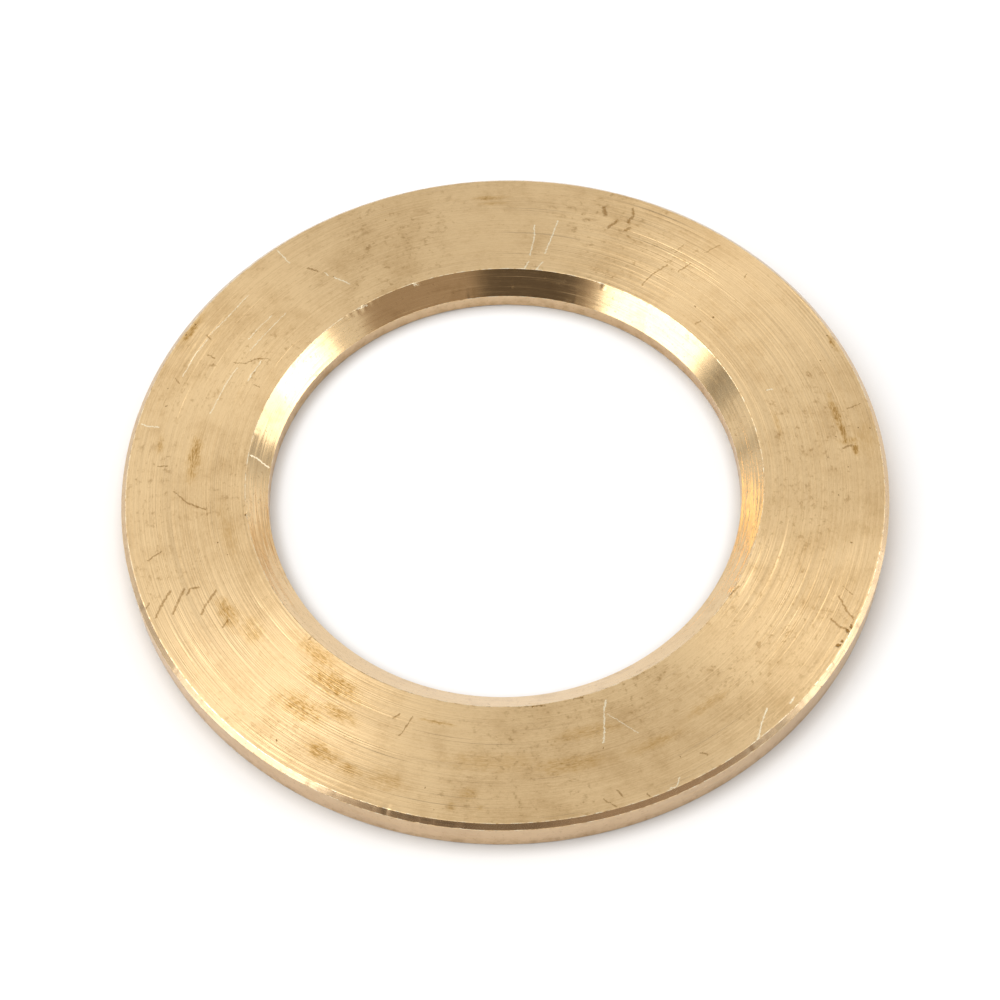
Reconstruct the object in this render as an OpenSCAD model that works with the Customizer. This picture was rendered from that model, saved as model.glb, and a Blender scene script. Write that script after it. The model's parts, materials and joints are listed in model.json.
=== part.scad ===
// Plain bronze thrust washer, turned in one piece.
// It lies on its back face, with the lead-in chamfer up. Millimetres, +Z up through the bore,
// and the origin is on the axis at the back face.

/* [Ring] */
// Outer diameter
outer_d = 62; // [50:0.5:90]
// Bore diameter, a running clearance over a 38 mm pin
bore_d = 38.5; // [20:0.5:42]
// Thickness over the two flat faces
thickness = 3; // [2.5:0.1:8]

/* [Front edges] */
// Lead-in chamfer round the bore, its width on the front face
lead_in_w = 1.7; // [0.2:0.05:2.2]
// Lead-in chamfer round the bore, its depth down the bore
lead_in_h = 1.7; // [0.2:0.05:2.1]
// Chamfer round the outer edge, its width on the front face
rim_chamfer_w = 0.4; // [0.1:0.05:1.2]
// Chamfer round the outer edge, its depth down the rim
rim_chamfer_h = 0.4; // [0.1:0.05:1.5]

/* [Back edges] */
// Deburring break on both edges of the back face
edge_break = 0.1; // [0.05:0.05:0.3]

/* [Hidden] */
$fn = 180;

outer_r = outer_d / 2;
bore_r = bore_d / 2;

// Half of the section, from the back of the bore round to the back of the rim and up to the front
module section() {
    polygon([
        [bore_r + edge_break, 0],
        [outer_r - edge_break, 0],
        [outer_r, edge_break],
        [outer_r, thickness - rim_chamfer_h],
        [outer_r - rim_chamfer_w, thickness],
        [bore_r + lead_in_w, thickness],
        [bore_r, thickness - lead_in_h],
        [bore_r, edge_break]
    ]);
}

// The whole ring, turned from one piece of bronze bar
module washer() {
    color([0.80, 0.66, 0.48]) rotate_extrude() section();
}

washer();
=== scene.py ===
"""A turned bronze thrust washer that lies on a white table among softboxes."""

import json
from math import atan2, cos, hypot, pi, radians, sin
from random import Random

import bmesh
import bpy
from bpy.props import FloatProperty, FloatVectorProperty, IntProperty, PointerProperty
from mathutils import Matrix, Vector, noise


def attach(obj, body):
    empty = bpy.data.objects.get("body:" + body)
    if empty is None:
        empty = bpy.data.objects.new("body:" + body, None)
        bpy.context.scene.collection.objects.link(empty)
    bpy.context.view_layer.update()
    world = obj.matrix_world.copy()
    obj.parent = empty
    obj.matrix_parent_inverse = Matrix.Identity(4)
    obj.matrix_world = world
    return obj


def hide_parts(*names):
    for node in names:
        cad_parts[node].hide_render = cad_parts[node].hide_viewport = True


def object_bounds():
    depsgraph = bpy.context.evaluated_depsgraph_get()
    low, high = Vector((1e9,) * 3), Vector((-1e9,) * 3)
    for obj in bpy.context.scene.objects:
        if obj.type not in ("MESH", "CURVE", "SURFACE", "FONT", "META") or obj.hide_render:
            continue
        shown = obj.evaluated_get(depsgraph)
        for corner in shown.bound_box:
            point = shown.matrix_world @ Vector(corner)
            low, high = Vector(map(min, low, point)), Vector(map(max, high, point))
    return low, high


bl_info = {
    "name": "Bronze Thrust Washer",
    "version": (1, 0, 0),
    "blender": (4, 5, 0),
    "location": "3D View > Sidebar > Washer",
    "description": "Builds a turned bronze thrust washer and the studio that it is shown in",
    "category": "Object",
}

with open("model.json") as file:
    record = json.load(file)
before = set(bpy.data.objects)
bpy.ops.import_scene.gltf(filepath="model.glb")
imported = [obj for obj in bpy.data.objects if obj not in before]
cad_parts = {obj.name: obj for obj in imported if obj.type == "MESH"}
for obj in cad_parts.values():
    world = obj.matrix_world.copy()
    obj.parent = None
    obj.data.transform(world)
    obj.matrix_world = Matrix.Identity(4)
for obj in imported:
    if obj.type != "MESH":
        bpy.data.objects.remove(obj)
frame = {"record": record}
CAD_LOW, CAD_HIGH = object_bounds()

MM = 0.001
MOUNTS = {mount["name"]: mount for mount in frame["record"]["mounts"]}

# Finishes of the ring's faces, in the order of its material slots.
FACE, CHAMFER, WALL, EDGE = range(4)
# Clear film that handling has left on all of the bronze.
COAT_WEIGHT = 0.25
COAT_ROUGHNESS = 0.2
# The spin makes a sixteenth of the ring, and each doubling copies what there is round the axis.
DOUBLINGS = 4
# Loops of the mesh stand this close to both ends of a flat, and this far apart between them.
END_LOOPS = (0.4 * MM, 0.2 * MM)
LOOP_SPACING = 1.1 * MM
# A shorter edge of the section belongs to a corner's round.
SHORTEST_FLAT = 0.3 * MM
# How far the wear of an edge reaches over the flats beside it.
WEAR_REACH = 0.34 * MM
# The share of a listed nick's depth that wear has left.
NICK_LEFT = 0.5
# How far the lead-in's edges stray, as a share of how far the rim's do.
LEAD_IN_STRAY = 0.3
# Small nicks scattered over each front edge: the edge and how many.
SMALL_NICKS = (("rim top", 46), ("rim foot", 40), ("lead-in top", 22), ("lead-in foot", 8))
# The table top: half its width in metres, its place under the washer, and how far the shade painted
# round the washer's foot reaches.
TABLE_HALF = 0.35
TABLE_HEIGHT = -0.02 * MM
PAINTED_SHADE_REACH = 1.2 * MM
# How far the softboxes stand from the washer, in metres.
SOFTBOX_DISTANCE = 0.6
# Softboxes: the name, the azimuth, the elevation and the lean in degrees, the width and the height
# in metres, and the brightness as a share of the one that the settings give.
SOFTBOXES = (
    ("low_left_softbox", 205, 22, 0, 0.42, 0.38, 0.4),
    ("low_left_core", 205, 28, 0, 0.36, 0.26, 0.24),
    ("high_left_softbox", 187, 54, 0, 0.30, 0.32, 0.9),
    ("low_right_softbox", -1, 19.5, -10, 0.42, 0.355, 0.432),
    ("low_right_core", -6, 21, 0, 0.20, 0.16, 0.4),
    ("high_right_softbox", 21, 54, 0, 0.14, 0.26, 0.625),
)
# Width of the camera's sensor, in mm.
SENSOR_WIDTH = 36.0

# Marks on the front face. Each point is an angle in degrees from +X towards +Y and a radius in mm.
# Scratches that show bare metal: points, then the width in mm. The last six are arcs round the axis in
# the fan of light on the left. They are painted highlights: bright lines where grooves catch the light,
# painted in the colour of bare metal.
SCRATCHES_AND_FAN_GLINTS = (
    (((80.5, 21.0), (79.4, 21.8)), 0.09),
    (((79.2, 22.8), (78.8, 23.7), (77.9, 26.5)), 0.09),
    (((83.5, 20.8), (82.5, 21.8)), 0.11),
    (((82.4, 22.5), (81.9, 24.5), (82.2, 25.7)), 0.10),
    (((122.2, 23.5), (123.0, 24.2), (123.8, 24.9)), 0.10),
    (((124.5, 25.3), (124.6, 25.8)), 0.08),
    (((128.3, 28.6), (128.2, 30.3)), 0.09),
    (((168.0, 28.8), (168.3, 29.7), (168.0, 30.3)), 0.09),
    (((288.8, 21.9), (287.6, 22.7), (286.1, 24.5), (285.3, 25.2)), 0.10),
    (((288.0, 23.0), (290.5, 24.6), (291.6, 25.4)), 0.05),
    (((311.2, 29.2), (308.9, 29.8), (306.7, 30.6)), 0.10),
    (((294.0, 30.0), (292.9, 30.6), (292.0, 30.5)), 0.09),
    (((18.3, 23.1), (18.2, 23.6)), 0.08),
    (((314.3, 30.1), (315.3, 30.0)), 0.12),
    (((157.5, 28.6), (152.9, 28.65), (148.9, 28.55)), 0.06),
    (((148.0, 28.6), (143.1, 28.4), (138.0, 28.5)), 0.05),
    (((163.6, 25.05), (159.6, 24.9), (155.8, 24.9), (152.1, 24.8)), 0.06),
    (((154.0, 23.35), (151.0, 23.35), (148.4, 23.35)), 0.06),
    (((145.4, 25.53), (142.2, 25.54), (138.6, 25.5)), 0.045),
    (((147.5, 24.75), (143.8, 24.7), (140.0, 24.7), (136.3, 24.75)), 0.045),
)
# Scratches across the lead-in chamfer, given in the same way. The first is a real scratch. The other two
# are painted highlights: glints on the lead-in's top edge, painted in the colour of bare metal.
LEAD_IN_SCRATCHES_AND_GLINTS = (
    (((171.9, 20.8), (171.7, 20.3), (172.2, 19.9), (172.4, 19.4)), 0.12),
    (((108.6, 20.8), (109.8, 20.85)), 0.08),
    (((122.0, 20.85), (124.5, 20.9)), 0.07),
)
# Gouges and hairlines that have gone brown: points, then the width in mm.
GOUGES = (
    (((56.4, 22.3), (56.0, 23.6), (54.6, 25.3)), 0.09),
    (((52.0, 25.2), (51.1, 26.6)), 0.09),
    (((54.9, 26.8), (54.5, 27.9)), 0.06),
    (((68.5, 26.8), (67.3, 27.8)), 0.20),
    (((65.3, 27.0), (64.7, 27.4)), 0.20),
    (((65.5, 27.9), (65.1, 28.8), (65.8, 29.5)), 0.18),
    (((69.8, 28.1), (70.6, 28.8)), 0.28),
    (((50.5, 28.2), (49.4, 29.7)), 0.07),
    (((41.9, 28.3), (42.2, 28.8)), 0.08),
    (((40.8, 21.9), (40.6, 22.4)), 0.10),
    (((2.7, 27.6), (3.1, 28.4)), 0.14),
    (((10.3, 28.8), (10.7, 29.9)), 0.07),
    (((125.5, 26.3), (126.5, 27.1)), 0.12),
    (((147.2, 22.9), (148.5, 23.8), (150.5, 24.4), (151.4, 25.3)), 0.07),
    (((154.4, 22.2), (154.3, 22.7)), 0.07),
    (((152.0, 27.0), (151.8, 27.7)), 0.09),
    (((148.8, 28.3), (148.5, 28.8)), 0.11),
    (((159.0, 28.6), (158.4, 29.0)), 0.11),
    (((185.2, 24.2), (183.5, 25.6), (180.8, 26.7)), 0.09),
    (((203.0, 25.0), (204.9, 26.2), (206.2, 26.8)), 0.14),
    (((201.1, 26.1), (200.8, 26.8), (201.7, 27.2)), 0.12),
    (((200.4, 27.2), (202.2, 28.0), (204.0, 28.8)), 0.15),
    (((200.0, 28.3), (201.5, 29.2), (203.4, 30.1)), 0.15),
    (((200.7, 30.2), (201.3, 30.5)), 0.13),
    (((209.5, 25.2), (210.3, 25.9)), 0.12),
    (((192.3, 28.1), (193.4, 29.3)), 0.09),
    (((175.7, 27.4), (175.7, 28.2)), 0.12),
    (((222.7, 21.1), (222.7, 21.4)), 0.12),
    (((250.3, 22.8), (249.8, 23.8), (249.3, 24.6)), 0.08),
    (((247.8, 22.9), (247.0, 23.4)), 0.11),
    (((282.6, 21.0), (284.6, 21.1)), 0.10),
    (((272.4, 21.0), (276.5, 21.1)), 0.10),
    (((282.5, 29.6), (284.0, 30.5)), 0.07),
    (((284.8, 29.2), (285.3, 29.8)), 0.10),
    (((288.7, 30.2), (289.0, 30.6)), 0.12),
    (((298.7, 29.0), (299.4, 29.4)), 0.10),
    (((329.9, 28.8), (329.3, 29.5), (329.4, 30.3)), 0.16),
    (((334.2, 28.6), (332.2, 29.6), (331.5, 30.3)), 0.12),
    (((336.1, 28.6), (335.3, 29.5)), 0.06),
    (((325.6, 21.0), (328.0, 21.2)), 0.12),
)
# Pits and specks of dirt: an angle, a radius in mm and the size of the pit in mm.
PITS = (
    (193.1, 23.6, 0.18), (123.9, 25.0, 0.13), (187.7, 21.05, 0.22), (163.8, 28.8, 0.18),
    (160.5, 29.3, 0.12), (285.1, 25.6, 0.16), (326.5, 30.4, 0.28), (328.8, 30.5, 0.20),
    (330.3, 30.4, 0.24), (353.2, 26.9, 0.14), (359.0, 27.8, 0.14), (1.0, 26.3, 0.14),
    (20.7, 28.5, 0.13), (22.2, 30.0, 0.16), (24.6, 30.2, 0.18), (6.3, 29.2, 0.14),
    (6.0, 30.1, 0.14), (5.2, 27.2, 0.16), (44.0, 23.2, 0.20), (39.5, 23.5, 0.18),
    (196.3, 23.1, 0.10), (295.7, 28.5, 0.16), (344.4, 28.3, 0.14), (109.4, 28.3, 0.16),
    (256.0, 28.3, 0.14), (274.0, 21.1, 0.20), (147.6, 30.3, 0.22), (150.0, 30.4, 0.20),
    (258.0, 29.9, 0.12), (232.0, 29.2, 0.16), (329.2, 30.35, 0.42), (327.3, 30.35, 0.34),
    (326.3, 30.25, 0.45), (330.0, 30.45, 0.36),
)
# Stains: an angle, a radius in mm, half the length and half the width in mm, and the strength.
STAINS = (
    (173.5, 25.3, 2.6, 0.6, 0.75),
    (208.3, 25.0, 1.8, 0.8, 0.65),
    (90.0, 28.1, 1.3, 0.25, 0.5),
    (90.5, 28.7, 1.7, 0.28, 0.6),
    (10.0, 27.7, 2.0, 0.4, 0.8),
    (4.0, 28.2, 0.5, 0.9, 0.5),
    (10.0, 22.8, 1.8, 0.25, 0.35),
    (279.0, 26.3, 3.2, 0.8, 0.5),
    (266.0, 25.6, 4.5, 0.9, 0.3),
    (304.5, 26.0, 2.4, 0.5, 0.4),
    (262.6, 28.3, 0.75, 0.55, 0.6),
    (260.4, 29.5, 0.30, 0.35, 0.5),
    (264.6, 29.4, 0.30, 0.30, 0.45),
    (226.5, 21.7, 2.8, 0.9, 0.6),
    (233.2, 23.0, 2.8, 1.2, 0.75),
    (231.5, 25.9, 2.4, 1.1, 0.7),
    (237.8, 24.8, 1.8, 0.7, 0.65),
    (239.0, 28.2, 1.7, 0.8, 0.7),
    (244.0, 28.6, 1.2, 0.6, 0.6),
    (250.0, 28.4, 1.8, 0.9, 0.45),
    (213.6, 24.2, 1.5, 1.0, 0.5),
    (255.2, 22.8, 1.6, 0.15, 0.6),
    (23.0, 30.2, 1.0, 0.25, 0.9),
    (2.5, 28.6, 0.8, 0.3, 1.0),
    (6.5, 27.9, 1.6, 0.25, 1.0),
    (283.0, 24.0, 3.0, 0.6, 0.45),
    (293.0, 26.6, 2.6, 0.5, 0.45),
    (171.5, 28.3, 1.0, 0.35, 0.5),
    (148.5, 30.2, 1.8, 0.35, 0.8),
    (4.0, 29.6, 2.0, 1.1, 0.3),
    (192.0, 22.6, 3.4, 0.7, 0.3),
)
# Rings that the tool cut deeper than the rest: a radius in mm and how steep the ring's sides are.
RINGS = (
    (21.68, 0.45), (22.00, 0.40), (22.99, 0.75), (23.80, 0.45), (24.74, 0.50),
    (25.48, 0.45), (26.12, 0.55), (26.72, 0.60), (28.22, 0.50), (28.72, 0.55),
)
# Nicks in the front edges: the edge, an angle in degrees, then the length and the depth in mm.
NICKS = (
    ("rim top", 226.0, 0.7, 0.05), ("rim top", 251.5, 0.5, 0.09), ("rim foot", 256.0, 0.4, 0.10),
    ("rim foot", 258.0, 0.4, 0.10), ("rim foot", 261.8, 0.6, 0.11), ("rim top", 286.5, 0.5, 0.09),
    ("rim top", 288.7, 0.4, 0.10), ("rim top", 293.0, 0.6, 0.09), ("rim top", 297.0, 0.5, 0.08),
    ("rim foot", 305.0, 0.5, 0.09), ("rim foot", 331.0, 0.4, 0.08),
    ("rim top", 200.9, 0.7, 0.09), ("rim top", 168.0, 0.5, 0.08), ("rim top", 24.0, 0.8, 0.07),
    ("rim top", 149.0, 0.8, 0.08), ("lead-in top", 109.0, 0.8, 0.11),
    ("lead-in top", 64.0, 0.5, 0.06), ("lead-in top", 146.0, 0.6, 0.07),
    ("lead-in top", 187.7, 0.5, 0.10), ("lead-in top", 274.5, 1.2, 0.07),
    ("lead-in top", 326.5, 1.0, 0.08), ("lead-in foot", 98.0, 0.7, 0.06),
    ("lead-in foot", 204.0, 0.6, 0.06), ("lead-in top", 120.5, 0.5, 0.05),
    ("lead-in top", 123.0, 0.5, 0.07), ("lead-in top", 125.0, 0.4, 0.04),
    ("lead-in top", 127.0, 0.5, 0.06),
)


class RingSize(bpy.types.PropertyGroup):
    """Sizes of the washer's turned section."""

    outer_radius: FloatProperty(
        name="Outer Radius", description="From the axis to the rim",
        default=CAD_HIGH.x, min=0.005, unit="LENGTH")
    bore_radius: FloatProperty(
        name="Bore Radius", description="From the axis to the wall of the bore",
        default=MOUNTS["bore"]["dims"]["r_mm"] * MM, min=0.002, unit="LENGTH")
    thickness: FloatProperty(
        name="Thickness", description="Over the two flat faces",
        default=CAD_HIGH.z, min=0.001, unit="LENGTH")
    lead_in: FloatProperty(
        name="Lead-in Chamfer", description="Width and depth of the chamfer round the bore",
        default=1.7 * MM, min=0.0, unit="LENGTH")
    rim_chamfer: FloatProperty(
        name="Rim Chamfer", description="Width and depth of the chamfer round the rim",
        default=0.4 * MM, min=0.0, unit="LENGTH")
    edge_break: FloatProperty(
        name="Back Edge Break", description="Width and depth of the breaks on the back edges",
        default=0.1 * MM, min=0.0, unit="LENGTH")
    edge_round: FloatProperty(
        name="Edge Round", description="How far each edge is worn round",
        default=0.035 * MM, min=0.0, unit="LENGTH")
    steps: IntProperty(
        name="Steps", description="Steps of the spin round the axis", default=1280, min=48)
    wander: FloatProperty(
        name="Edge Wander", description="How far hand deburring lets the front edges stray",
        default=0.018 * MM, min=0.0, unit="LENGTH")


class BronzeColours(bpy.types.PropertyGroup):
    """Colours of the bronze and of what has marked it."""

    clean: FloatVectorProperty(
        name="Clean Bronze", description="Freshly turned metal",
        default=(0.84, 0.60, 0.32), subtype="COLOR", min=0.0, max=1.0)
    dull: FloatVectorProperty(
        name="Dull Bronze", description="Metal that has begun to tarnish",
        default=(0.64, 0.425, 0.20), subtype="COLOR", min=0.0, max=1.0)
    stain: FloatVectorProperty(
        name="Stain", description="Brown of the stains, pits and gouges",
        default=(0.30, 0.15, 0.03), subtype="COLOR", min=0.0, max=1.0)
    oxide: FloatVectorProperty(
        name="Oxide", description="Orange brown of the thin patches of tarnish",
        default=(0.60, 0.36, 0.12), subtype="COLOR", min=0.0, max=1.0)
    dust: FloatVectorProperty(
        name="Dust", description="Pale brown film on the walls of the rim and the bore",
        default=(0.70, 0.53, 0.37), subtype="COLOR", min=0.0, max=1.0)
    # Also painted on as glints: the highlight lines in the left fan and on the lead-in's top edge.
    scratch_and_glint: FloatVectorProperty(
        name="Scratch", description="Bare metal in a fresh scratch",
        default=(0.98, 0.86, 0.62), subtype="COLOR", min=0.0, max=1.0)


class StudioSettings(bpy.types.PropertyGroup):
    """The camera, the table and the light."""

    lens: FloatProperty(
        name="Lens", description="Focal length on a 36 mm sensor", default=84.4, min=10.0)
    distance: FloatProperty(
        name="Camera Distance", description="From the aim point to the camera",
        default=0.19178, min=0.02, unit="LENGTH")
    elevation: FloatProperty(
        name="Camera Elevation", description="Height of the camera above the table",
        default=radians(58.03), subtype="ANGLE")
    roll: FloatProperty(
        name="Camera Roll", description="Turn of the camera about its line of sight",
        default=radians(-2.216), subtype="ANGLE")
    aim: FloatVectorProperty(
        name="Aim Point", description="Point on the table at the middle of the view",
        default=(-0.00041, -0.00052, 0.0), subtype="TRANSLATION")
    surround: FloatProperty(
        name="Surround", description="Brightness of the white room, where 1 is white",
        default=0.85, min=0.0)
    softbox: FloatProperty(
        name="Softboxes", description="Brightness of the softboxes, where 1 is white",
        default=3.4, min=0.0)
    table: FloatProperty(
        name="Table", description="How much light the white table sends back",
        default=0.82, min=0.0, max=1.0)
    table_seen: FloatProperty(
        name="Table Seen", description="How white the table looks from the camera",
        default=0.97, min=0.0, max=1.0)


class Field:
    """A number that varies over a surface, which Python's operators turn into Math nodes."""

    def __init__(self, graph, socket):
        self.graph = graph
        self.socket = socket

    def maths(self, operation, *values):
        return self.graph.maths(operation, self, *values)

    def __add__(self, other):
        return self.maths("ADD", other)

    def __radd__(self, other):
        return self.graph.maths("ADD", other, self)

    def __sub__(self, other):
        return self.maths("SUBTRACT", other)

    def __rsub__(self, other):
        return self.graph.maths("SUBTRACT", other, self)

    def __mul__(self, other):
        return self.maths("MULTIPLY", other)

    def __rmul__(self, other):
        return self.graph.maths("MULTIPLY", other, self)

    def __truediv__(self, other):
        return self.maths("DIVIDE", other)

    def __neg__(self):
        return self.maths("MULTIPLY", -1.0)

    def at_most(self, other):
        return self.maths("MINIMUM", other)

    def at_least(self, other):
        return self.maths("MAXIMUM", other)

    def rise(self, start, end):
        """0 up to start and 1 from end on, with a smooth step between them."""
        node = self.graph.node(
            "ShaderNodeMapRange", {"interpolation_type": "SMOOTHSTEP"},
            {"Value": self, "From Min": start, "From Max": end})
        return Field(self.graph, node.outputs["Result"])


class Graph:
    """Writes the nodes of one material or world."""

    def __init__(self, tree):
        self.tree = tree
        tree.nodes.clear()

    def node(self, kind, settings=None, values=None):
        """Adds a node, sets its settings, then sets or links its inputs by name or place."""
        node = self.tree.nodes.new(kind)
        for name, setting in (settings or {}).items():
            setattr(node, name, setting)
        for key, value in (values or {}).items():
            source = value.socket if isinstance(value, Field) else value
            if isinstance(source, bpy.types.NodeSocket):
                self.tree.links.new(source, node.inputs[key])
            else:
                node.inputs[key].default_value = source
        return node

    def maths(self, operation, *values):
        node = self.node("ShaderNodeMath", {"operation": operation}, dict(enumerate(values)))
        return Field(self, node.outputs[0])

    def vector(self, operation, *values):
        """A Vector Math node's vector result, as a socket."""
        node = self.node("ShaderNodeVectorMath", {"operation": operation}, dict(enumerate(values)))
        return node.outputs["Vector"]

    def scaled(self, vector, factor):
        node = self.node(
            "ShaderNodeVectorMath", {"operation": "SCALE"}, {"Vector": vector, "Scale": factor})
        return node.outputs["Vector"]

    def measure(self, operation, *values):
        """A Vector Math node's number, such as a length or a dot product."""
        node = self.node("ShaderNodeVectorMath", {"operation": operation}, dict(enumerate(values)))
        return Field(self, node.outputs["Value"])

    def parts(self, vector):
        node = self.node("ShaderNodeSeparateXYZ", None, {"Vector": vector})
        return [Field(self, output) for output in node.outputs]

    def whole(self, x, y, z):
        node = self.node("ShaderNodeCombineXYZ", None, {"X": x, "Y": y, "Z": z})
        return node.outputs["Vector"]

    def colour(self, factor, first, second):
        """The first colour, going over to the second as the factor goes from 0 to 1."""
        node = self.node("ShaderNodeMix", {"data_type": "RGBA"}, {0: factor, 6: first, 7: second})
        return node.outputs[2]

    def noise(self, vector, scale, detail=2.0, roughness=0.5, output="Fac"):
        """Smooth noise from about 0.2 to about 0.8, with its middle at 0.5."""
        node = self.node(
            "ShaderNodeTexNoise", {"noise_dimensions": "3D"},
            {"Vector": vector, "Scale": scale, "Detail": detail, "Roughness": roughness})
        return Field(self, node.outputs[output])

    def shader(self, kind, values, output="ShaderNodeOutputMaterial"):
        """Adds the surface's shader and joins it to the output node."""
        node = self.node(kind, None, values)
        self.node(output, None, {"Surface": node.outputs[0]})


def opaque(colour):
    return (*colour, 1.0)


def face_point(angle, radius):
    """A point of the front face, in mm, from an angle in degrees and a radius in mm."""
    return Vector((radius * cos(radians(angle)), radius * sin(radians(angle)), 0.0))


class TurnedSurface(Graph):
    """Nodes that know the ring: places in millimetres, and the way that the tool went round."""

    def __init__(self, tree):
        super().__init__(tree)
        place = self.node("ShaderNodeTexCoord").outputs["Object"]
        self.place = self.scaled(place, 1 / MM)
        self.x, self.y, self.z = self.parts(self.place)
        self.radius = self.measure("LENGTH", self.whole(self.x, self.y, 0.0))
        self.cosine = self.x / self.radius
        self.sine = self.y / self.radius
        self.normal = self.node("ShaderNodeNewGeometry").outputs["Normal"]
        # Distance across the grooves. It grows along every part of the section.
        self.across = self.radius + self.z * 1.7
        # The place seen from above, shaken a little so that no mark has a clean edge.
        cloud = self.noise(self.place, scale=3.0, detail=3.0, roughness=0.8, output="Color")
        shake = self.scaled(self.vector("SUBTRACT", cloud, (0.5, 0.5, 0.5)), 0.42)
        flat = self.whole(self.x, self.y, 0.0)
        self.shaken = self.vector("MULTIPLY", self.vector("ADD", flat, shake), (1.0, 1.0, 0.0))

    def grooves(self, pitch, arcs, detail=1.0):
        """Noise drawn out round the axis, from -0.5 to 0.5. More arcs make shorter streaks."""
        vector = self.whole(self.cosine * arcs, self.sine * arcs, self.across / pitch)
        return self.noise(vector, 1.0, detail) - 0.5

    def dashes(self, pitch, arcs, detail=1.0, roughness=0.5):
        """Noise in short dashes round the axis, placed by the distance from the axis alone."""
        vector = self.whole(self.cosine * arcs, self.sine * arcs, self.radius / pitch)
        return self.noise(vector, 1.0, detail, roughness)

    def ridges(self, pitch, arcs, rare, steep):
        """Slope of ridges that stand apart: flat, with here and there a steep side."""
        streak = self.grooves(pitch, arcs)
        return (streak.rise(rare, rare + 0.1) - (-streak).rise(rare, rare + 0.1)) * steep

    def ring(self, radius, steep):
        """Slope of one round ridge: its inner side leans in and its outer side out."""
        side_width = 0.06
        off = (self.radius - radius) / side_width
        side = (1.0 - (off - 0.5).maths("ABSOLUTE") * 2.0).at_least(0.0)
        return (side - (1.0 - (off + 0.5).maths("ABSOLUTE") * 2.0).at_least(0.0)) * steep

    def tilted(self, slope):
        """The surface's normal leant across the grooves by a slope."""
        along = self.whole(-1.0 * self.sine, self.cosine, 0.0)
        across = self.vector("CROSS_PRODUCT", along, self.normal)
        return self.vector("NORMALIZE", self.vector("ADD", self.normal, self.scaled(across, slope)))

    def dented(self, height, normal):
        """A normal bumped by a height in mm."""
        node = self.node(
            "ShaderNodeBump", None, {"Height": height, "Distance": MM, "Normal": normal})
        return node.outputs["Normal"]

    def from_line(self, start, end):
        """Distance in mm from the straight line between two points."""
        reach = end - start
        away = self.vector("SUBTRACT", self.shaken, start)
        share = self.measure("DOT_PRODUCT", away, reach / reach.length_squared)
        share = Field(self, self.node("ShaderNodeClamp", None, {"Value": share}).outputs[0])
        return self.measure("DISTANCE", away, self.scaled(reach, share))

    def strokes(self, strokes):
        """1 along the middle of every stroke, falling to 0 at its sides."""
        off = 1.0
        for points, width in strokes:
            spots = [face_point(*point) for point in points]
            for start, end in zip(spots, spots[1:]):
                off = (self.from_line(start, end) / width).at_most(off)
        return 1.0 - off

    def pits(self, pits):
        """1 in the middle of every pit, falling to 0 at its rim."""
        off = 1.0
        for angle, radius, size in pits:
            distance = self.measure("DISTANCE", self.shaken, face_point(angle, radius))
            off = (distance * (2 / size)).at_most(off)
        return (1.0 - off).rise(0.0, 0.6)

    def stains(self, stains):
        """Ragged ovals that lie along the ring, each as strong as the list says."""
        ragged = self.noise(self.place, scale=1.1, detail=4.0, roughness=0.8) * 2.8 - 1.4
        total = 0.0
        for angle, radius, half_length, half_width, strength in stains:
            middle = face_point(angle, radius)
            outward = middle / radius
            onward = Vector((-outward.y, outward.x, 0.0)) / half_length
            outward = outward / half_width
            along = self.measure("DOT_PRODUCT", self.shaken, onward)
            out = self.measure("DOT_PRODUCT", self.shaken, outward) - middle.dot(outward)
            off = self.measure("LENGTH", self.whole(along, out, 0.0))
            inside = 1.0 - off
            stain = (inside + ragged).rise(-0.5, 1.0) * inside.rise(-0.7, 0.5) * strength
            total = stain.at_least(total)
        return total


def start_bronze(name):
    """A new material, with the writer of its nodes."""
    material = bpy.data.materials.new(name)
    material.use_nodes = True
    return material, TurnedSurface(material.node_tree)


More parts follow.
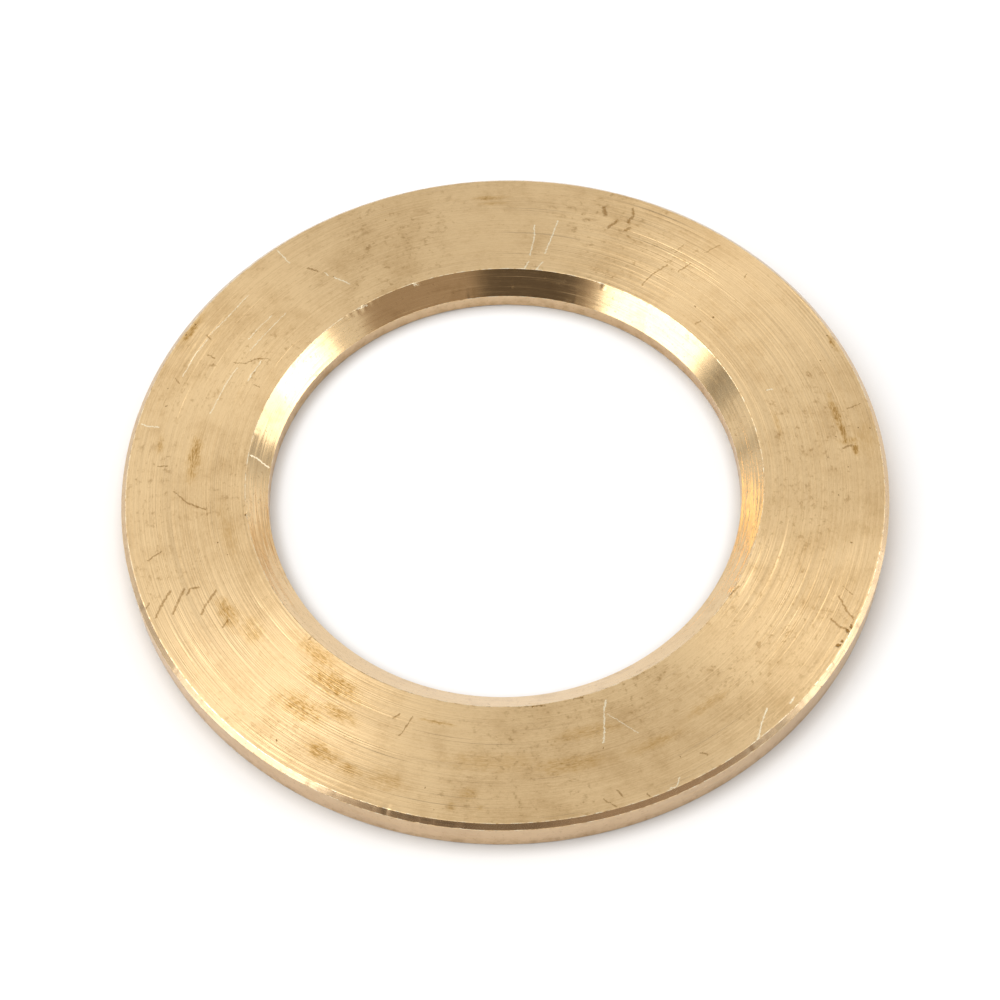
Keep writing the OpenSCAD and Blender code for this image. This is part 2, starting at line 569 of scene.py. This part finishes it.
def bronze_face(colours):
    """The wide turned faces: concentric tool marks, tarnish and handling marks."""
    material, g = start_bronze("turned_bronze_face")
    # 1 on the front face and 0 on the back
    front = g.z.rise(1.0, 2.0)
    patchy = g.noise(g.place, scale=0.16, detail=1.0) * 1.4 + 0.3
    fading = g.grooves(pitch=0.8, arcs=3.0).rise(-0.1, 0.1)
    slope = g.grooves(pitch=0.06, arcs=1.4) * 0.9 * patchy
    slope = slope + g.ridges(pitch=0.08, arcs=1.5, rare=0.16, steep=0.5) * (fading + 0.3)
    for radius, steep in RINGS:
        slope = slope + g.ring(radius, steep * 0.45) * front * fading
    # Tarnish dulls the metal in clouds and along the tool marks
    tarnish = g.noise(g.place, scale=0.11, detail=3.0, roughness=0.6).rise(0.35, 0.7)
    mottle = g.noise(g.place, scale=0.45, detail=4.0, roughness=0.7).rise(0.42, 0.72)
    brushed = g.dashes(pitch=0.07, arcs=62.0) - 0.5
    grain = g.noise(g.place, scale=9.0, detail=1.0) - 0.5
    dulled = tarnish * 0.45 + mottle * 0.35 + g.grooves(pitch=0.12, arcs=3.0, detail=2.0) * 0.9
    dulled = dulled + brushed * 0.8 + grain * 0.5 + g.grooves(pitch=0.05, arcs=2.0) * 0.8
    colour = g.colour(dulled, opaque(colours.clean), opaque(colours.dull))
    # Small brown marks, crowded in some places
    crowded = g.noise(g.place, scale=0.13, detail=1.0).rise(0.42, 0.62)
    dashes = g.dashes(pitch=0.14, arcs=34.0).rise(0.66, 0.78) * 0.2
    dabs = g.dashes(pitch=0.45, arcs=26.0, detail=4.0, roughness=0.75).rise(0.53, 0.75)
    freckles = g.noise(g.place, scale=1.8, detail=2.0, roughness=0.6).rise(0.6, 0.74)
    marks = dashes + dabs * crowded * 0.5 + freckles * (0.05 + 0.3 * crowded)
    # Marks that stand at places of their own
    ragged = g.noise(g.place, scale=5.0, detail=2.0, roughness=0.7).rise(0.3, 0.5)
    gouges = g.strokes(GOUGES) * front
    cut = gouges.rise(0.0, 0.8) * (0.35 + 0.5 * ragged)
    lip = (gouges.rise(0.0, 0.15) - gouges.rise(0.1, 0.4)) * (1.0 - ragged)
    pits = g.pits(PITS) * front
    # Bare metal of the scratches and of the gouges' lips, and painted highlights along the arcs of the
    # left fan.
    bare_and_glints = (g.strokes(SCRATCHES_AND_FAN_GLINTS) * front).rise(0.2, 0.8) * (0.5 + 0.5 * ragged) + lip * 0.4
    stains = g.stains(STAINS) * front * (0.5 + 0.9 * (brushed * 2.5 + 0.5).rise(0.0, 1.0))
    worn = (marks + stains.rise(0.35, 1.2) * 0.6 + cut * 0.8 + pits * 0.9).at_most(1.0)
    colour = g.colour((stains * 1.2).at_most(1.0), colour, opaque(colours.oxide))
    colour = g.colour(worn, colour, opaque(colours.stain))
    # The colour of bare metal, laid on real scratches and on the painted highlights.
    colour = g.colour(bare_and_glints, colour, opaque(colours.scratch_and_glint))
    g.shader("ShaderNodeBsdfPrincipled", {
        "Base Color": colour, "Metallic": 1.0,
        "Roughness": 0.31 + patchy * 0.02 + mottle * 0.03 + worn * 0.08,
        "Anisotropic": 0.88, "Anisotropic Rotation": 0.25,
        "Coat Weight": COAT_WEIGHT, "Coat Roughness": COAT_ROUGHNESS,
        "Normal": g.dented(pits * -0.05, g.tilted(slope))})
    return material


def bronze_chamfer(colours):
    """The two front chamfers, cut smoother than the faces."""
    material, g = start_bronze("cut_bronze_chamfer")
    # 1 on the rim's chamfer and 0 on the lead-in
    rim = g.radius.rise(24.0, 26.0)
    slope = g.grooves(pitch=0.06, arcs=2.5) * 0.2 + g.grooves(pitch=0.35, arcs=3.0, detail=3.0) * 0.24
    slope = slope + g.ridges(pitch=0.15, arcs=2.0, rare=0.16, steep=0.11)
    slope = slope * (1.0 - 0.6 * rim)
    mottle = g.noise(g.place, scale=1.4, detail=3.0, roughness=0.6).rise(0.4, 0.8)
    tarnish = g.noise(g.place, scale=0.35, detail=3.0, roughness=0.6).rise(0.52, 0.7)
    specks = g.noise(g.place, scale=4.0, detail=2.0).rise(0.6, 0.75)
    brushed = g.grooves(pitch=0.05, arcs=5.0)
    streaks = g.grooves(pitch=0.3, arcs=6.0, detail=3.0).rise(0.02, 0.25)
    dulled = mottle * 0.3 + tarnish * 0.2 + brushed * 1.6 + streaks * 0.3 + rim * 0.6
    colour = g.colour(dulled, opaque(colours.clean), opaque(colours.dull))
    dirt = specks * (0.35 + 0.3 * rim) + tarnish * 0.1 + streaks * 0.08
    colour = g.colour(dirt, colour, opaque(colours.stain))
    colour = g.colour(rim * 0.4, colour, opaque(colours.dust))
    # Bare metal of a real scratch, and painted highlights where the lead-in's top edge glints.
    bare_and_glints = g.strokes(LEAD_IN_SCRATCHES_AND_GLINTS).rise(0.2, 0.8)
    colour = g.colour(bare_and_glints, colour, opaque(colours.scratch_and_glint))
    roughness = 0.14 + rim * 0.08 + mottle * 0.05 + specks * 0.1 + brushed * 0.12 + bare_and_glints * 0.3
    g.shader("ShaderNodeBsdfPrincipled", {
        "Base Color": colour, "Metallic": 1.0, "Roughness": roughness,
        "Coat Weight": 2 * COAT_WEIGHT, "Coat Roughness": COAT_ROUGHNESS / 2,
        "Normal": g.tilted(slope)})
    return material


def bronze_wall(colours):
    """The rim and the wall of the bore, with a plain turned finish."""
    material, g = start_bronze("turned_bronze_wall")
    slope = g.grooves(pitch=0.08, arcs=4.0) * 0.8
    mottle = g.noise(g.place, scale=1.1, detail=3.0, roughness=0.6).rise(0.35, 0.8)
    # The wall is painted darker and browner towards its foot. This is partly dirt, and partly painted
    # shade where the wall meets the table.
    foot = 1.0 - g.z.rise(0.1, 1.3)
    specks = g.noise(g.place, scale=4.0, detail=2.0, roughness=0.6).rise(0.58, 0.72)
    cloud = g.noise(g.place, scale=0.28, detail=2.0).rise(0.4, 0.65)
    colour = g.colour(0.1 + mottle * 0.5, opaque(colours.clean), opaque(colours.dull))
    colour = g.colour(0.45, colour, opaque(colours.dust))
    # Besides dirt and specks, this sum carries the painted shade at the wall's foot.
    dirt = 0.01 + foot * (0.12 + mottle * 0.4) + specks * 0.25 + cloud * 0.07
    colour = g.colour(dirt, colour, opaque(colours.stain))
    g.shader("ShaderNodeBsdfPrincipled", {
        "Base Color": colour, "Metallic": 1.0, "Roughness": 0.36 + mottle * 0.08,
        "Coat Weight": COAT_WEIGHT, "Coat Roughness": COAT_ROUGHNESS,
        "Normal": g.tilted(slope)})
    return material


def bronze_edge(colours):
    """The narrow rounds along the edges, burnished by handling."""
    material, g = start_bronze("burnished_bronze_edge")
    wear = g.noise(g.place, scale=1.6, detail=2.0, roughness=0.6).rise(0.3, 0.6)
    dirt = g.noise(g.place, scale=2.4, detail=2.0, roughness=0.7).rise(0.5, 0.66) * 0.55
    colour = g.colour(wear, opaque(colours.scratch_and_glint), opaque(colours.clean))
    colour = g.colour(dirt, colour, opaque(colours.stain))
    g.shader("ShaderNodeBsdfPrincipled", {
        "Base Color": colour, "Metallic": 1.0, "Roughness": 0.22 + wear * 0.12,
        "Coat Weight": COAT_WEIGHT, "Coat Roughness": COAT_ROUGHNESS})
    return material


def section_corners(ring):
    """The section's corners as (radius, height), from the back of the bore round to its front."""
    return [
        (ring.bore_radius + ring.edge_break, 0.0),
        (ring.outer_radius - ring.edge_break, 0.0),
        (ring.outer_radius, ring.edge_break),
        (ring.outer_radius, ring.thickness - ring.rim_chamfer),
        (ring.outer_radius - ring.rim_chamfer, ring.thickness),
        (ring.bore_radius + ring.lead_in, ring.thickness),
        (ring.bore_radius, ring.thickness - ring.lead_in),
        (ring.bore_radius, ring.edge_break),
    ]


def finish_of(face, ring):
    """Which of the four finishes a face of the ring has, from the way that it faces."""
    place = face.calc_center_median()
    up = face.normal.z
    if abs(up) > 0.999:
        return FACE
    if abs(up) < 0.02:
        return WALL
    if abs(up - cos(pi / 4)) < 0.02 and place.z > ring.thickness / 4:
        return CHAMFER
    return EDGE


def front_edges(ring):
    """The four front edges: radius, height, the way along the flat, and the angle into the metal."""
    top = ring.thickness
    return {
        "rim top": (ring.outer_radius - ring.rim_chamfer, top, (-1, 0), radians(-112.5)),
        "rim foot": (ring.outer_radius, top - ring.rim_chamfer, (0, -1), radians(-157.5)),
        "lead-in top": (ring.bore_radius + ring.lead_in, top, (1, 0), radians(-67.5)),
        "lead-in foot": (ring.bore_radius, top - ring.lead_in, (0, -1), radians(-22.5)),
    }


def split_flat(bm, edge):
    """Puts loops close to both ends of one flat of the section, then even ones between them."""
    for _ in range(2):
        for margin in END_LOOPS:
            length = edge.calc_length()
            if length < 3 * margin:
                continue
            new_edge, _ = bmesh.utils.edge_split(edge, edge.verts[0], margin / length)
            edge = max(edge, new_edge, key=lambda item: item.calc_length())
    cuts = int(edge.calc_length() / LOOP_SPACING)
    if cuts:
        bmesh.ops.subdivide_edges(bm, edges=[edge], cuts=cuts)


def turn_section(bm, ring):
    """Rounds the section's corners and spins it about the axis."""
    corners = [bm.verts.new((radius, 0.0, height)) for radius, height in section_corners(ring)]
    bm.faces.new(corners)
    bmesh.ops.bevel(
        bm, geom=corners, offset=ring.edge_round, offset_type="OFFSET", segments=3,
        profile=0.5, affect="VERTICES", material=-1, clamp_overlap=True)
    bmesh.ops.delete(bm, geom=list(bm.faces), context="FACES_ONLY")
    for edge in [edge for edge in bm.edges if edge.calc_length() > SHORTEST_FLAT]:
        split_flat(bm, edge)
    turned = 2 * pi / 2 ** DOUBLINGS
    bmesh.ops.spin(
        bm, geom=list(bm.verts) + list(bm.edges), cent=(0, 0, 0), axis=(0, 0, 1),
        angle=turned, steps=ring.steps // 2 ** DOUBLINGS, use_duplicate=False)
    for _ in range(DOUBLINGS):
        copy = bmesh.ops.duplicate(bm, geom=list(bm.verts) + list(bm.edges) + list(bm.faces))
        moved = [item for item in copy["geom"] if isinstance(item, bmesh.types.BMVert)]
        bmesh.ops.rotate(bm, verts=moved, cent=(0, 0, 0), matrix=Matrix.Rotation(turned, 3, "Z"))
        turned *= 2
    bmesh.ops.remove_doubles(bm, verts=list(bm.verts), dist=0.001 * MM)
    bmesh.ops.recalc_face_normals(bm, faces=list(bm.faces))


def all_nicks():
    """The nicks that the list gives, and small ones scattered over all four edges."""
    chance = Random(5)
    nicks = [
        (name, radians(angle), length * MM, NICK_LEFT * depth * MM)
        for name, angle, length, depth in NICKS]
    for name, count in SMALL_NICKS:
        for _ in range(count):
            angle = chance.uniform(-pi, pi)
            length = chance.uniform(0.25, 0.7) * MM
            depth = chance.uniform(0.006, 0.02) * MM
            nicks.append((name, angle, length, depth))
    return nicks


def wear_edges(bm, ring):
    """Lets the front edges stray a little along their flats and presses the nicks into them."""
    edges = front_edges(ring)
    nicks = all_nicks()
    for number, (name, (radius, height, flat, into)) in enumerate(edges.items()):
        dents = [nick[1:] for nick in nicks if nick[0] == name]
        for vert in bm.verts:
            place = vert.co
            own_radius = hypot(place.x, place.y)
            off = hypot(own_radius - radius, place.z - height)
            if off >= WEAR_REACH:
                continue
            angle = atan2(place.y, place.x)
            near = 1 - off / WEAR_REACH
            around = Vector((cos(angle), sin(angle), number * 5.0))
            slow = noise.noise(around * 9.0)
            quick = noise.noise(around * 40.0)
            depth = 0.0
            for dent_angle, length, dent_depth in dents:
                along = abs(radius * sin((angle - dent_angle) / 2)) * 4 / length
                if along < 1 and cos(angle - dent_angle) > 0:
                    depth = max(depth, dent_depth * (1 - along * along))
            slide = (slow + 0.6 * quick) * ring.wander * near
            if name.startswith("lead-in"):
                slide *= LEAD_IN_STRAY
            shift_out = flat[0] * slide + cos(into) * depth * near ** 2
            shift_up = flat[1] * slide + sin(into) * depth * near ** 2
            place.x += cos(angle) * shift_out
            place.y += sin(angle) * shift_out
            place.z += shift_up


def set_finishes(bm, ring):
    """Gives each face its finish, shades it smooth and keeps a crease where finishes meet."""
    for face in bm.faces:
        face.material_index = finish_of(face, ring)
        face.smooth = True
    for edge in bm.edges:
        first, second = edge.link_faces
        edge.smooth = first.material_index == second.material_index


class WASHER_OT_ring(bpy.types.Operator):
    """Turn the bronze ring"""

    bl_idname = "washer.ring"
    bl_label = "Turn Ring"
    bl_options = {"REGISTER", "UNDO"}

    def execute(self, context):
        ring = context.scene.washer_ring
        colours = context.scene.washer_colours
        bm = bmesh.new()
        turn_section(bm, ring)
        bm.normal_update()
        set_finishes(bm, ring)
        wear_edges(bm, ring)
        mesh = bpy.data.meshes.new("bronze_ring")
        bm.to_mesh(mesh)
        bm.free()
        for make in (bronze_face, bronze_chamfer, bronze_wall, bronze_edge):
            mesh.materials.append(make(colours))
        piece = bpy.data.objects.new("bronze_ring", mesh)
        context.scene.collection.objects.link(piece)
        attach(piece, "root")
        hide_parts("washer")
        return {"FINISHED"}


def direction(azimuth, elevation):
    """A unit vector from an azimuth, counted from +X towards +Y, and a height above the table."""
    return Vector((
        cos(azimuth) * cos(elevation), sin(azimuth) * cos(elevation), sin(elevation)))


def add_softbox(context, name, azimuth, elevation, lean, width, height, brightness):
    """A rectangular softbox that faces the washer, its top leant over to one side."""
    lamp = bpy.data.lights.new(name, "AREA")
    lamp.shape = "RECTANGLE"
    lamp.size = width
    lamp.size_y = height
    lamp.energy = brightness * pi * width * height
    away = direction(radians(azimuth), radians(elevation))
    holder = bpy.data.objects.new(name, lamp)
    facing = away.to_track_quat("Z", "Y").to_matrix() @ Matrix.Rotation(radians(lean), 3, "Z")
    holder.matrix_world = Matrix.Translation(away * SOFTBOX_DISTANCE) @ facing.to_4x4()
    context.scene.collection.objects.link(holder)


def add_table(context, studio):
    """A white table top, seen white where no shadow falls on it, with shade painted into its colour
    round the washer's foot.
    """
    bm = bmesh.new()
    bmesh.ops.create_grid(bm, x_segments=1, y_segments=1, size=TABLE_HALF)
    mesh = bpy.data.meshes.new("table")
    bm.to_mesh(mesh)
    bm.free()
    material = bpy.data.materials.new("white_table")
    material.use_nodes = True
    g = Graph(material.node_tree)
    seen = Field(g, g.node("ShaderNodeLightPath").outputs["Is Camera Ray"])
    # Painted shade: ambient occlusion darkens the table's colour, as the camera sees it, round the
    # washer's foot.
    painted_contact_shade = g.node("ShaderNodeAmbientOcclusion", {"samples": 8}, {"Distance": PAINTED_SHADE_REACH})
    painted_contact_shade = Field(g, painted_contact_shade.outputs["AO"])
    seen_white_with_painted_shade = studio.table_seen * (0.45 + 0.55 * painted_contact_shade)
    whiteness_with_painted_shade = studio.table + seen * (seen_white_with_painted_shade - studio.table)
    g.shader("ShaderNodeBsdfDiffuse", {"Color": g.whole(whiteness_with_painted_shade, whiteness_with_painted_shade, whiteness_with_painted_shade)})
    mesh.materials.append(material)
    table = bpy.data.objects.new("table", mesh)
    table.location.z = TABLE_HEIGHT
    context.scene.collection.objects.link(table)


def light_room(context, studio):
    """A white room, dim at the horizon and dark behind the camera, that the camera sees white."""
    world = bpy.data.worlds.new("white_room")
    world.use_nodes = True
    g = Graph(world.node_tree)
    x, y, z = g.parts(g.node("ShaderNodeTexCoord").outputs["Generated"])
    level = g.measure("LENGTH", g.whole(x, y, 0.0))

    def towards(azimuth, full, none):
        """1 within one angle of an azimuth, and 0 beyond another, all in degrees."""
        turned = (x * cos(radians(azimuth)) + y * sin(radians(azimuth))) / level
        return turned.rise(cos(radians(none)), cos(radians(full)))

    def above(none, full):
        """0 below one height over the horizon, and 1 above another, both in degrees."""
        return z.rise(sin(radians(none)), sin(radians(full)))

    # The room darkens behind the camera, and most of all where the camera stands.
    low = 1.0 - above(40, 58)
    raised = above(19, 32)
    front = towards(277, 44, 50) * low
    camera_stand = towards(257, 16, 24) * low * (0.45 + 0.55 * raised)
    # It is dim beside the left softbox and round the horizon, but for three clear places.
    gap = towards(175.5, 4.5, 6.5) * (above(14, 17) * (1.0 - above(24, 28)))
    clear = towards(146, 5, 8) + 0.9 * towards(161, 3, 6) + 0.95 * towards(41, 6, 20)
    horizon = above(1, 5) * (1.0 - above(9, 18)) * (1.0 - clear)
    # The back is a little brighter on both sides.
    glow = towards(164, 4, 8) * above(8, 12)
    left = towards(140, 20, 45) * above(20, 32)
    right = towards(43, 10, 22) * (1.0 - above(4, 8))
    room = studio.surround * (0.96 + 0.42 * left + 0.45 * right + 0.1 * glow)
    room = room * (1.0 - 0.44 * horizon) * (1.0 - 0.55 * gap)
    room = room * (1.0 - front * (0.43 + 0.1 * raised)) * (1.0 - 0.72 * camera_stand)
    seen = Field(g, g.node("ShaderNodeLightPath").outputs["Is Camera Ray"])
    strength = room + seen * (1.0 - room)
    tint = g.colour(front * (1.0 - seen), (1, 1, 1, 1), (1.0, 0.82, 0.68, 1))
    g.shader("ShaderNodeBackground", {"Color": tint, "Strength": strength},
             "ShaderNodeOutputWorld")
    context.scene.world = world


def add_camera(context, studio):
    """The camera looks down at the washer from the front."""
    camera = bpy.data.cameras.new("camera")
    camera.lens = studio.lens
    camera.sensor_width = SENSOR_WIDTH
    camera.clip_start = 0.005
    holder = bpy.data.objects.new("camera", camera)
    turn = Matrix.Rotation(pi / 2 - studio.elevation, 4, "X") @ Matrix.Rotation(studio.roll, 4, "Z")
    back = turn.to_3x3() @ Vector((0, 0, 1))
    holder.matrix_world = Matrix.Translation(Vector(studio.aim) + back * studio.distance) @ turn
    context.scene.collection.objects.link(holder)
    context.scene.camera = holder


class WASHER_OT_stage(bpy.types.Operator):
    """Set up the table, the softboxes, the room and the camera"""

    bl_idname = "washer.stage"
    bl_label = "Set Up Stage"
    bl_options = {"REGISTER", "UNDO"}

    def execute(self, context):
        studio = context.scene.washer_studio
        add_table(context, studio)
        for name, azimuth, elevation, lean, width, height, share in SOFTBOXES:
            brightness = share * studio.softbox
            add_softbox(context, name, azimuth, elevation, lean, width, height, brightness)
        light_room(context, studio)
        add_camera(context, studio)
        context.scene.view_settings.view_transform = "Standard"
        return {"FINISHED"}


class WASHER_PT_panel(bpy.types.Panel):
    """Lists what builds the washer and its stage"""

    bl_idname = "WASHER_PT_panel"
    bl_label = "Bronze Washer"
    bl_space_type = "VIEW_3D"
    bl_region_type = "UI"
    bl_category = "Washer"

    def draw(self, context):
        for settings in GROUPS:
            group = getattr(context.scene, settings)
            for name in group.bl_rna.properties.keys():
                if name not in ("rna_type", "name"):
                    self.layout.prop(group, name)
        for operator in (WASHER_OT_ring, WASHER_OT_stage):
            self.layout.operator(operator.bl_idname)


GROUPS = {
    "washer_ring": RingSize,
    "washer_colours": BronzeColours,
    "washer_studio": StudioSettings,
}
CLASSES = (*GROUPS.values(), WASHER_OT_ring, WASHER_OT_stage, WASHER_PT_panel)


def register():
    for item in CLASSES:
        bpy.utils.register_class(item)
    for name, group in GROUPS.items():
        setattr(bpy.types.Scene, name, PointerProperty(type=group))


def unregister():
    for name in GROUPS:
        delattr(bpy.types.Scene, name)
    for item in reversed(CLASSES):
        bpy.utils.unregister_class(item)


def main():
    register()
    bpy.ops.washer.ring()
    bpy.ops.washer.stage()


if __name__ == "__main__":
    main()
